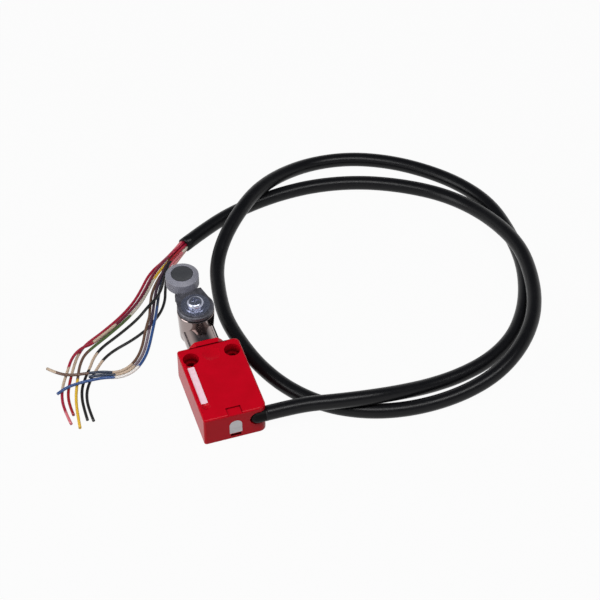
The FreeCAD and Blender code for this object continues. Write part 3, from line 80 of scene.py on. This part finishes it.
# Each core: its place round the jacket's end face in eighths of a turn, the colour it shows from each
# distance in millimetres along it, and its route. The pale beige and white stretches that most cores take
# between about 84 and 114 mm are painted highlight.
CORES = {
    "red": (0, [(0, "crimson"), (89, "beige"), (103, "dark_red")], [
        (-0.6, 82.5, LOW), (-10.4, 76.1, LOW), (-18.6, 64.2, LOW), (-24.2, 57.6, LOW), (-32.0, 50.8, LOW),
        (-43.4, 43.3, LOW), (-52.3, 38.5, LOW), (-57.6, 32.6, LOW), (-61.2, 25.6, LOW), (-65.0, 17.2, LOW),
        (-67.6, 10.0, LOW), (-68.4, 3.1, LOW), (-68.0, -3.3, LOW),
    ]),
    "red_white": (1, [(0, "pink"), (7, "crimson"), (99, "beige"), (114, "crimson"), (127, "pink")], [
        (0.0, 81.6, UP), (-9.0, 75.0, LOW), (-17.2, 63.1, LOW), (-22.9, 56.4, LOW), (-31.0, 49.4, LOW),
        (-42.5, 41.8, LOW), (-49.6, 37.6, 1.0), (-54.6, 35.4, 2.8), (-60.6, 30.8, 2.7), (-65.0, 23.2, LOW),
        (-68.6, 16.2, LOW), (-70.9, 8.6, LOW), (-71.3, 0.6, LOW), (-70.3, -8.3, LOW),
    ]),
    "green_yellow": (7, [(0, "yellow"), (27, "cream"), (54, "green"), (84, "brown"), (103, "yellow")], [
        (0.5, 80.9, LOW), (-7.7, 73.8, LOW), (-15.8, 62.1, LOW), (-21.6, 55.2, LOW), (-29.9, 48.0, LOW),
        (-41.6, 40.3, LOW), (-49.6, 35.5, LOW), (-54.6, 31.8, LOW), (-58.0, 26.2, LOW), (-60.4, 19.8, LOW),
        (-62.6, 13.2, LOW), (-64.6, 6.4, LOW), (-66.0, -2.0, LOW), (-67.0, -11.9, LOW),
    ]),
    "white_violet": (2, [(0, "crimson"), (13, "plum"), (64, "beige")], [
        (0.5, 80.9, 3.95), (-8.4, 74.4, UP), (-16.5, 62.6, UP), (-22.3, 55.8, UP), (-30.4, 48.7, UP),
        (-42.0, 41.1, UP), (-48.3, 37.6, UP),
    ]),
    "black_white": (3, [(0, "crimson"), (6, "dark_red"), (14, "black"), (84, "beige"), (95, "black")], [
        (1.5, 79.5, 3.95), (-4.1, 70.8, UP), (-7.8, 62.2, UP), (-12.0, 56.4, 2.8), (-17.6, 51.8, 2.9),
        (-24.2, 47.0, LOW), (-35.3, 39.8, LOW), (-45.4, 34.2, LOW), (-50.4, 29.2, LOW), (-53.8, 23.2, LOW),
        (-57.4, 17.6, LOW), (-60.4, 11.8, LOW), (-62.0, 5.2, LOW), (-62.5, -1.6, LOW), (-62.6, -8.2, LOW),
    ]),
    "black": (5, [(0, "rose"), (21, "black"), (88, "beige"), (98, "black")], [
        (2.7, 77.9, LOW), (-3.4, 70.0, LOW), (-6.3, 61.6, LOW), (-8.0, 55.6, LOW), (-11.4, 49.2, LOW),
        (-16.2, 43.9, LOW), (-22.0, 38.8, LOW), (-30.4, 34.2, LOW), (-40.2, 30.6, LOW), (-46.4, 26.6, LOW),
        (-51.2, 21.0, LOW), (-55.6, 15.2, LOW), (-58.8, 9.0, LOW), (-60.1, 2.8, LOW), (-60.3, -3.4, LOW),
        (-60.0, -9.6, LOW),
    ]),
    "brown": (6, [(0, "dark_red"), (24, "brown"), (84, "beige"), (95, "slate"), (106, "brown"),
                  (122, "beige")], [
        (1.5, 79.5, LOW), (-6.1, 72.5, LOW), (-12.6, 63.1, LOW), (-15.9, 54.6, LOW), (-18.2, 46.4, 1.9),
        (-20.2, 42.2, OVER), (-22.8, 37.0, OVER), (-26.8, 28.4, LOW), (-31.2, 21.8, LOW), (-36.6, 17.4, LOW),
        (-42.8, 16.3, LOW), (-49.0, 17.4, OVER), (-56.0, 18.6, OVER), (-63.4, 19.6, OVER),
        (-69.2, 22.6, OVER), (-73.2, 29.0, LOW),
    ]),
    "violet": (None, [(0, "violet"), (62, "grey_violet"), (85, "beige"), (96, "slate")], [
        (1.0, 80.2, UP), (-5.4, 71.9, UP), (-10.9, 62.6, LOW), (-14.2, 54.0, LOW), (-17.0, 45.4, OVER),
        (-20.4, 38.2, OVER), (-25.5, 27.2, LOW), (-30.0, 20.6, LOW), (-35.6, 15.9, LOW), (-42.2, 14.5, LOW),
        (-48.9, 15.5, OVER), (-56.0, 16.2, OVER),
    ]),
    "blue": (4, [(0, "cream"), (5, "pink"), (20, "slate"), (44, "blue"), (84, "white"), (98, "blue")], [
        (2.0, 78.8, UP), (-4.8, 71.3, LOW), (-9.2, 62.2, LOW), (-12.5, 53.4, LOW), (-15.2, 45.6, OVER),
        (-18.6, 38.0, OVER), (-24.2, 26.2, LOW), (-28.8, 19.4, LOW), (-34.6, 14.3, LOW), (-41.6, 12.8, LOW),
        (-48.6, 13.4, OVER), (-55.6, 13.9, OVER), (-63.0, 13.7, OVER), (-68.4, 12.5, OVER), (-72.4, 10.4, UP),
    ]),
}
CORE_COLOURS = {
    "crimson": (0.36, 0.008, 0.035), "dark_red": (0.33, 0.006, 0.012), "pink": (0.66, 0.16, 0.19),
    "rose": (0.60, 0.26, 0.25), "white": (0.85, 0.82, 0.78), "cream": (0.66, 0.60, 0.50),
    "beige": (0.55, 0.42, 0.31), "yellow": (0.80, 0.50, 0.04), "green": (0.08, 0.13, 0.035),
    "plum": (0.16, 0.008, 0.03), "violet": (0.06, 0.03, 0.05), "grey_violet": (0.20, 0.15, 0.18),
    "black": (0.008, 0.007, 0.007), "brown": (0.14, 0.075, 0.05), "slate": (0.025, 0.04, 0.075),
    "blue": (0.022, 0.075, 0.25),
}
BAND_BORDER_SLANT = 1.5

# How finely routes and tubes are drawn
ROUTE_STEPS = 10
CABLE_SIDES = 28
CORE_SIDES = 12

# The dust ring's lip: its bevel is given inwards in millimetres, and upwards as a share of its height
RING_INSIDE = 6.0
RING_OUTSIDE = 8.78
RING_EDGE = 0.1
RING_EDGE_SHARE = 0.2
RING_SIDES = 96

# The floor: its half width in metres, how far it lies below zero, and how much of it is its own white
FLOOR_REACH = 8.0
FLOOR_DEPTH = 0.02 * MM
FLOOR_COLOUR = (0.32, 0.32, 0.32)
FLOOR_GLOW = 0.96

# The room: an even fill, and a ceiling that grows dark upwards in mirrored rays
WHITE = (1, 1, 1)
FILL_COLOUR = (0.95, 0.97, 1.0)
FILL_STRENGTH = 0.14
CEILING_COLOUR = (0.10, 0.11, 0.13)
CEILING_WHITE_BELOW = 0.15
CEILING_DARK_ABOVE = 0.60

# Lamps: place and size in metres, and watts
LAMP_TARGET = (0.03, 0.03, 0.0)
LAMPS = {
    "window": ((-0.80, -0.05, 0.45), (0.5, 0.7), 4.0),
    "overhead": ((0.05, -0.34, 0.92), (1.0, 0.28), 6.8),
}

# The range of a noise pattern that tones and gloss spread over
PATTERN_LOW = 0.3
PATTERN_HIGH = 0.7

RED = (0.53, 0.001, 0.011)
RED_DARKER = (0.50, 0.001, 0.010)
RED_LIGHTER = (0.56, 0.001, 0.012)
# Painted shade inside holes and grooves: its colour, how far the occlusion looks in millimetres, and the
# occlusion values where the shade is full and where it ends
RED_PAINTED_SHADE = (0.05, 0.0, 0.001)
RECESS_REACH = 4.5
RECESS_DARK = 0.35
RECESS_OPEN = 0.85
NICKEL = (0.31, 0.25, 0.24)
LEVER_GREY = (0.12, 0.12, 0.135)
LEVER_DARKER = (0.075, 0.075, 0.088)
LEVER_LIGHTER = (0.155, 0.155, 0.18)
CABLE_BLACK = (0.005, 0.005, 0.006)


def add_object(name, data):
    item = bpy.data.objects.new(name, data)
    bpy.context.scene.collection.objects.link(item)
    return item


def math_node(tree, operation, *terms):
    """One step of arithmetic on numbers and on other nodes' results."""
    node = tree.nodes.new("ShaderNodeMath")
    node.operation = operation
    for socket, term in zip(node.inputs, terms):
        if isinstance(term, (int, float)):
            socket.default_value = term
        else:
            tree.links.new(term, socket)
    return node.outputs[0]


# Camera, floor and light

def add_camera():
    azimuth = math.radians(VIEW_AZIMUTH)
    elevation = math.radians(VIEW_ELEVATION)
    back = Vector((math.sin(azimuth) * math.cos(elevation), -math.cos(azimuth) * math.cos(elevation),
                   math.sin(elevation)))
    data = bpy.data.cameras.new("camera")
    data.lens = LENS
    data.clip_end = 20
    camera = add_object("camera", data)
    camera.location = VIEW_TARGET + back * VIEW_DISTANCE
    camera.rotation_euler = back.to_track_quat("Z", "Y").to_euler()
    bpy.context.scene.camera = camera


def add_floor():
    """A white floor that keeps a soft shadow and reads as the white background."""
    mesh = bpy.data.meshes.new("floor")
    reach = FLOOR_REACH
    mesh.from_pydata([(-reach, -reach, 0), (reach, -reach, 0), (reach, reach, 0), (-reach, reach, 0)], [],
                     [(0, 1, 2, 3)])
    floor = add_object("floor", mesh)
    floor.location.z = -FLOOR_DEPTH
    material = bpy.data.materials.new("floor")
    material.use_nodes = True
    tree = material.node_tree
    nodes = tree.nodes
    links = tree.links
    nodes.clear()
    output = nodes.new("ShaderNodeOutputMaterial")
    diffuse = nodes.new("ShaderNodeBsdfDiffuse")
    diffuse.inputs["Color"].default_value = (*FLOOR_COLOUR, 1)
    glow = nodes.new("ShaderNodeEmission")
    glow.inputs["Color"].default_value = (*WHITE, 1)
    mix = nodes.new("ShaderNodeMixShader")
    path = nodes.new("ShaderNodeLightPath")
    seen = math_node(tree, "MAXIMUM", path.outputs["Is Camera Ray"], path.outputs["Is Glossy Ray"])
    seen = math_node(tree, "MAXIMUM", seen, path.outputs["Is Transmission Ray"])
    links.new(math_node(tree, "MULTIPLY", seen, FLOOR_GLOW), mix.inputs[0])
    links.new(diffuse.outputs[0], mix.inputs[1])
    links.new(glow.outputs[0], mix.inputs[2])
    links.new(mix.outputs[0], output.inputs[0])
    mesh.materials.append(material)


def add_world():
    """White where it is seen, a plain soft fill on matt surfaces, and a dim ceiling over mirrored ones."""
    world = bpy.data.worlds.new("studio")
    bpy.context.scene.world = world
    world.use_nodes = True
    tree = world.node_tree
    nodes = tree.nodes
    links = tree.links
    nodes.clear()
    output = nodes.new("ShaderNodeOutputWorld")
    fill = nodes.new("ShaderNodeBackground")
    fill.inputs["Color"].default_value = (*FILL_COLOUR, 1)
    fill.inputs["Strength"].default_value = FILL_STRENGTH
    direction = nodes.new("ShaderNodeTexCoord")
    split = nodes.new("ShaderNodeSeparateXYZ")
    ceiling = two_tones(tree, WHITE, CEILING_COLOUR, CEILING_WHITE_BELOW, CEILING_DARK_ABOVE)
    mirrored = nodes.new("ShaderNodeBackground")
    seen = nodes.new("ShaderNodeBackground")
    seen.inputs["Color"].default_value = (*WHITE, 1)
    path = nodes.new("ShaderNodeLightPath")
    reflected = math_node(tree, "MAXIMUM", path.outputs["Is Glossy Ray"],
                          path.outputs["Is Transmission Ray"])
    soft = nodes.new("ShaderNodeMixShader")
    mix = nodes.new("ShaderNodeMixShader")
    links.new(direction.outputs["Generated"], split.inputs[0])
    links.new(split.outputs["Z"], ceiling.inputs[0])
    links.new(ceiling.outputs[0], mirrored.inputs["Color"])
    links.new(reflected, soft.inputs[0])
    links.new(fill.outputs[0], soft.inputs[1])
    links.new(mirrored.outputs[0], soft.inputs[2])
    links.new(path.outputs["Is Camera Ray"], mix.inputs[0])
    links.new(soft.outputs[0], mix.inputs[1])
    links.new(seen.outputs[0], mix.inputs[2])
    links.new(mix.outputs[0], output.inputs[0])


def add_lamps():
    for name, (place, size, watts) in LAMPS.items():
        data = bpy.data.lights.new(name, "AREA")
        data.shape = "RECTANGLE"
        data.size = size[0]
        data.size_y = size[1]
        data.energy = watts
        lamp = add_object(name, data)
        lamp.location = place
        lamp.rotation_euler = (Vector(place) - Vector(LAMP_TARGET)).to_track_quat("Z", "Y").to_euler()


# Cords

def smooth_route(points):
    """Points along the smooth line that a cord's route controls."""
    curve = bpy.data.curves.new("route", "CURVE")
    curve.dimensions = "3D"
    curve.resolution_u = ROUTE_STEPS
    spline = curve.splines.new("NURBS")
    spline.points.add(len(points) - 1)
    for control, point in zip(spline.points, points):
        control.co = (point[0] * MM, point[1] * MM, point[2] * MM, 1)
    spline.order_u = 3
    spline.use_endpoint_u = True
    line = add_object("route", curve)
    bpy.context.view_layer.update()
    evaluated = line.evaluated_get(bpy.context.evaluated_depsgraph_get())
    mesh = bpy.data.meshes.new_from_object(evaluated)
    places = [vertex.co.copy() for vertex in mesh.vertices]
    bpy.data.objects.remove(line)
    bpy.data.meshes.remove(mesh)
    return places


def add_tube(name, places, radius, sides):
    """A closed tube along the places, with its length in diameters and its angle as texture coordinates."""
    tangent = (places[1] - places[0]).normalized()
    normal = tangent.orthogonal().normalized()
    vertices = []
    lengths = []
    travelled = 0.0
    for index, place in enumerate(places):
        after = places[min(index + 1, len(places) - 1)]
        before = places[max(index - 1, 0)]
        turned = (after - before).normalized()
        normal = (tangent.rotation_difference(turned) @ normal).normalized()
        normal = (normal - turned * normal.dot(turned)).normalized()
        tangent = turned
        across = tangent.cross(normal)
        if index:
            travelled += (place - places[index - 1]).length
        lengths.append(travelled)
        for side in range(sides):
            angle = 2 * math.pi * side / sides
            vertices.append(place + (normal * math.cos(angle) + across * math.sin(angle)) * radius)
    faces = []
    for ring in range(len(places) - 1):
        for side in range(sides):
            after = (side + 1) % sides
            faces.append((ring * sides + side, ring * sides + after, (ring + 1) * sides + after,
                          (ring + 1) * sides + side))
    faces.append(tuple(reversed(range(sides))))
    faces.append(tuple(range((len(places) - 1) * sides, len(places) * sides)))
    mesh = bpy.data.meshes.new(name)
    mesh.from_pydata(vertices, [], faces)
    layer = mesh.uv_layers.new(name="length_and_angle")
    for face in mesh.polygons:
        around = len(face.vertices) == 4
        for loop in face.loop_indices:
            vertex = mesh.loops[loop].vertex_index
            ring, side = divmod(vertex, sides)
            angle = side / sides
            if around and side == 0 and face.index % sides == sides - 1:
                angle = 1.0
            layer.data[loop].uv = (lengths[ring] / (2 * radius), angle)
        face.use_smooth = around
    return add_object(name, mesh)


def path_length(places):
    return sum((after - before).length for before, after in zip(places, places[1:]))


def add_cable(material):
    places = smooth_route([CABLE_EXIT] + CABLE_ROUTE)
    piece = add_tube("cable", places, CABLE_DIAMETER / 2 * MM, CABLE_SIDES)
    piece.data.materials.append(material)
    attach(piece, "switch_body")
    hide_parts("cable_jacket")


def core_start(place):
    """Where a core leaves the jacket's end face."""
    end = Vector(CABLE_ROUTE[-1])
    along = end - Vector(CABLE_ROUTE[-2])
    sideways = Vector((along.y, -along.x, 0)).normalized()
    if place is None:
        return end
    angle = place * math.pi / 4
    lift = Vector((0, 0, CORE_RING_RADIUS * math.sin(angle)))
    return end + sideways * (CORE_RING_RADIUS * math.cos(angle)) + lift


def add_core(name):
    place, stretches, route = CORES[name]
    places = smooth_route([core_start(place)] + route)
    piece = add_tube("insulated_core_" + name, places, CORE_DIAMETER / 2 * MM, CORE_SIDES)
    piece.data.materials.append(core_material(name, stretches, path_length(places) / MM))
    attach(piece, "switch_body")
    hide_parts("core_" + name)


# The ring between the lever's hub and the head

def add_dust_ring(material):
    """The dust ring with the lip that shows as a black line under the hub."""
    low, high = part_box("dust_ring")
    profile = [(RING_INSIDE, 0.0), (RING_OUTSIDE - RING_EDGE, 0.0), (RING_OUTSIDE, RING_EDGE_SHARE),
               (RING_OUTSIDE, 1 - RING_EDGE_SHARE), (RING_OUTSIDE - RING_EDGE, 1.0), (RING_INSIDE, 1.0)]
    vertices = []
    faces = []
    for step in range(RING_SIDES):
        angle = 2 * math.pi * step / RING_SIDES
        for corner, (radius, rise) in enumerate(profile):
            vertices.append(((low[0] + high[0]) / 2 + radius * MM * math.cos(angle),
                             (low[1] + high[1]) / 2 + radius * MM * math.sin(angle),
                             low[2] + rise * (high[2] - low[2])))
            beyond = (corner + 1) % len(profile)
            after = (step + 1) % RING_SIDES
            faces.append((step * len(profile) + corner, after * len(profile) + corner,
                          after * len(profile) + beyond, step * len(profile) + beyond))
    mesh = bpy.data.meshes.new("dust_ring_lip")
    mesh.from_pydata(vertices, [], faces)
    mesh.materials.append(material)
    piece = add_object("dust_ring_lip", mesh)
    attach(piece, "switch_body")
    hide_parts("dust_ring")


# Materials

def shader_of(material):
    return material.node_tree.nodes["Principled BSDF"]


def plain(name, colour, roughness, metallic=0.0, coat=0.0, specular=0.5):
    """A material with its even values set on the shader itself."""
    material = bpy.data.materials.new(name)
    material.use_nodes = True
    shader = shader_of(material)
    shader.inputs["Base Color"].default_value = (*colour, 1)
    shader.inputs["Roughness"].default_value = roughness
    shader.inputs["Metallic"].default_value = metallic
    shader.inputs["Coat Weight"].default_value = coat
    shader.inputs["Coat Roughness"].default_value = 0.15
    shader.inputs["Specular IOR Level"].default_value = specular
    return material


def grain(material, scale, detail=3.0):
    """A noise pattern in the object's own millimetres."""
    nodes = material.node_tree.nodes
    links = material.node_tree.links
    place = nodes.new("ShaderNodeTexCoord")
    mapping = nodes.new("ShaderNodeMapping")
    mapping.inputs["Scale"].default_value = [1 / MM] * 3
    noise = nodes.new("ShaderNodeTexNoise")
    noise.inputs["Scale"].default_value = scale
    noise.inputs["Detail"].default_value = detail
    links.new(place.outputs["Object"], mapping.inputs["Vector"])
    links.new(mapping.outputs[0], noise.inputs["Vector"])
    return noise.outputs["Fac"]


def add_bump(material, height, strength, distance):
    nodes = material.node_tree.nodes
    bump = nodes.new("ShaderNodeBump")
    bump.inputs["Strength"].default_value = strength
    bump.inputs["Distance"].default_value = distance * MM
    material.node_tree.links.new(height, bump.inputs["Height"])
    material.node_tree.links.new(bump.outputs[0], shader_of(material).inputs["Normal"])


def two_tones(tree, first, second, low, high):
    """A ramp from one colour at its low end to another at its high end."""
    ramp = tree.nodes.new("ShaderNodeValToRGB")
    for element, place, colour in zip(ramp.color_ramp.elements, (low, high), (first, second)):
        element.position = place
        element.color = (*colour, 1)
    return ramp


def add_tones(material, pattern, darker, lighter):
    """Vary the colour between two tones."""
    ramp = two_tones(material.node_tree, darker, lighter, PATTERN_LOW, PATTERN_HIGH)
    material.node_tree.links.new(pattern, ramp.inputs[0])
    material.node_tree.links.new(ramp.outputs[0], shader_of(material).inputs["Base Color"])


def paint_shade_into_recesses(material, dark, reach):
    """Paint shade into the paint's colour inside holes and grooves: a painted shade, full where the surface
    is most sheltered.
    """
    nodes = material.node_tree.nodes
    links = material.node_tree.links
    colour = shader_of(material).inputs["Base Color"]
    open_colour = colour.links[0].from_socket
    shelter = nodes.new("ShaderNodeAmbientOcclusion")
    shelter.inputs["Distance"].default_value = reach * MM
    shelter.only_local = True
    spread = nodes.new("ShaderNodeMapRange")
    spread.inputs["From Min"].default_value = RECESS_DARK
    spread.inputs["From Max"].default_value = RECESS_OPEN
    mix = nodes.new("ShaderNodeMix")
    mix.data_type = "RGBA"
    mix.inputs["A"].default_value = (*dark, 1)
    links.new(shelter.outputs["AO"], spread.inputs["Value"])
    links.new(spread.outputs[0], mix.inputs["Factor"])
    links.new(open_colour, mix.inputs["B"])
    links.new(mix.outputs["Result"], colour)


def add_gloss_range(material, pattern, low, high):
    """Vary the roughness between two values."""
    spread = material.node_tree.nodes.new("ShaderNodeMapRange")
    spread.inputs["From Min"].default_value = PATTERN_LOW
    spread.inputs["From Max"].default_value = PATTERN_HIGH
    spread.inputs["To Min"].default_value = low
    spread.inputs["To Max"].default_value = high
    material.node_tree.links.new(pattern, spread.inputs["Value"])
    material.node_tree.links.new(spread.outputs[0], shader_of(material).inputs["Roughness"])


def red_paint():
    material = plain("red_paint", RED, roughness=0.30, specular=0.12)
    add_tones(material, grain(material, 0.12), RED_DARKER, RED_LIGHTER)
    add_bump(material, grain(material, 1.6), strength=0.10, distance=0.02)
    # Painted shade inside the holes and grooves
    paint_shade_into_recesses(material, RED_PAINTED_SHADE, RECESS_REACH)
    return material


def nickel():
    material = plain("nickel", NICKEL, roughness=0.14, metallic=1.0)
    add_gloss_range(material, grain(material, 0.3), low=0.11, high=0.17)
    return material


def lever_paint():
    material = plain("lever_metal", LEVER_GREY, roughness=0.48, metallic=0.6)
    add_tones(material, grain(material, 0.5, detail=5.0), LEVER_DARKER, LEVER_LIGHTER)
    add_bump(material, grain(material, 1.2, detail=4.0), strength=0.20, distance=0.04)
    return material


def bright_steel(name, colour, roughness):
    material = plain(name, colour, roughness, metallic=1.0)
    add_gloss_range(material, grain(material, 0.6), roughness * 0.85, roughness * 1.25)
    add_bump(material, grain(material, 1.5, detail=2.0), strength=0.04, distance=0.01)
    return material


def moulded(name, colour, roughness, bump=0.15, specular=0.5):
    material = plain(name, colour, roughness, specular=specular)
    darker = [value * 0.92 for value in colour]
    lighter = [min(1.0, value * 1.06) for value in colour]
    add_tones(material, grain(material, 0.5, detail=4.0), darker, lighter)
    add_bump(material, grain(material, 2.0), strength=bump, distance=0.02)
    return material


def cable_jacket():
    material = plain("cable_black", CABLE_BLACK, roughness=0.30, specular=0.20)
    add_gloss_range(material, grain(material, 0.3, detail=4.0), low=0.26, high=0.36)
    add_bump(material, grain(material, 1.2), strength=0.05, distance=0.02)
    return material


def core_material(name, stretches, length):
    """Insulation whose colour changes in listed stretches along the core, with borders slanted round it; its
    pale stretches between about 84 and 114 mm are painted highlight.
    """
    material = plain("core_" + name, CORE_COLOURS[stretches[0][1]], roughness=0.34, coat=0.1)
    add_gloss_range(material, grain(material, 0.5), low=0.30, high=0.42)
    tree = material.node_tree
    place = tree.nodes.new("ShaderNodeTexCoord")
    split = tree.nodes.new("ShaderNodeSeparateXYZ")
    tree.links.new(place.outputs["UV"], split.inputs[0])
    around = math_node(tree, "MULTIPLY", split.outputs["Y"], 2 * math.pi)
    slant = math_node(tree, "MULTIPLY", math_node(tree, "SINE", around), BAND_BORDER_SLANT / length)
    along = math_node(tree, "MULTIPLY_ADD", split.outputs["X"], CORE_DIAMETER / length, slant)
    ramp = tree.nodes.new("ShaderNodeValToRGB")
    ramp.color_ramp.interpolation = "CONSTANT"
    bands = ramp.color_ramp.elements
    bands[0].color = (*CORE_COLOURS[stretches[0][1]], 1)
    bands[1].color = (*CORE_COLOURS[stretches[-1][1]], 1)
    for start, colour in stretches[1:]:
        bands.new(start / length).color = (*CORE_COLOURS[colour], 1)
    tree.links.new(along, ramp.inputs[0])
    tree.links.new(ramp.outputs[0], shader_of(material).inputs["Base Color"])
    return material


def dress_nodes():
    """Give every CAD node that stays its finish."""
    rubber = moulded("black_rubber", (0.005, 0.005, 0.005), 0.50, specular=0.2)
    black_plastic = moulded("black_plastic", (0.02, 0.02, 0.02), 0.45)
    white_plastic = moulded("white_plastic", (0.80, 0.79, 0.78), 0.40)
    steel = bright_steel("steel", (0.55, 0.55, 0.56), 0.30)
    zinc = bright_steel("zinc_steel", (0.48, 0.50, 0.60), 0.27)
    brass = bright_steel("brass", (0.70, 0.50, 0.20), 0.30)
    grey = moulded("grey_plastic", (0.235, 0.235, 0.28), 0.42, 0.2)
    finishes = {
        "housing": red_paint(), "head_body": nickel(), "lever_arm": lever_paint(),
        "marking_strip": moulded("blank_strip", (1.0, 0.67, 0.76), 0.40),
        "end_plate": moulded("pale_plate", (0.78, 0.76, 0.78), 0.45),
        "rear_cover": black_plastic, "rear_gasket": rubber, "cover_screws": zinc,
        "shaft_bush": bright_steel("bronze", (0.45, 0.28, 0.12), 0.35), "shaft_seal": rubber,
        "turret_seal": rubber, "turret_clip": steel, "head_spring": steel,
        "head_follower": brass, "lever_shaft": steel, "drive_cam": steel, "thrust_washer": steel,
        "lever_washer": zinc, "lever_spring_washer": zinc, "lever_screw": zinc, "roller": grey,
        "roller_pin": moulded("dark_pin", (0.045, 0.047, 0.053), 0.45), "roller_washer": steel,
        "contact_base": black_plastic, "contact_cover": black_plastic, "contact_plunger": white_plastic,
        "bridge_opening_1": brass, "bridge_opening_2": brass, "bridge_closing": brass,
        "bridge_springs": steel, "opening_contacts": brass, "closing_contacts": brass,
        "plunger_spring": steel,
        "cable_elbow": moulded("elbow_rubber", (0.004, 0.004, 0.004), 0.50, specular=0.08),
    }
    for name, material in finishes.items():
        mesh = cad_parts[name].data
        mesh.materials.clear()
        mesh.materials.append(material)


bpy.context.scene.view_settings.view_transform = "Standard"
add_camera()
add_cable(cable_jacket())
for core in CORES:
    add_core(core)
add_dust_ring(moulded("ring_rubber", (0.003, 0.003, 0.003), 0.50, specular=0.1))
add_floor()
add_world()
add_lamps()
dress_nodes()
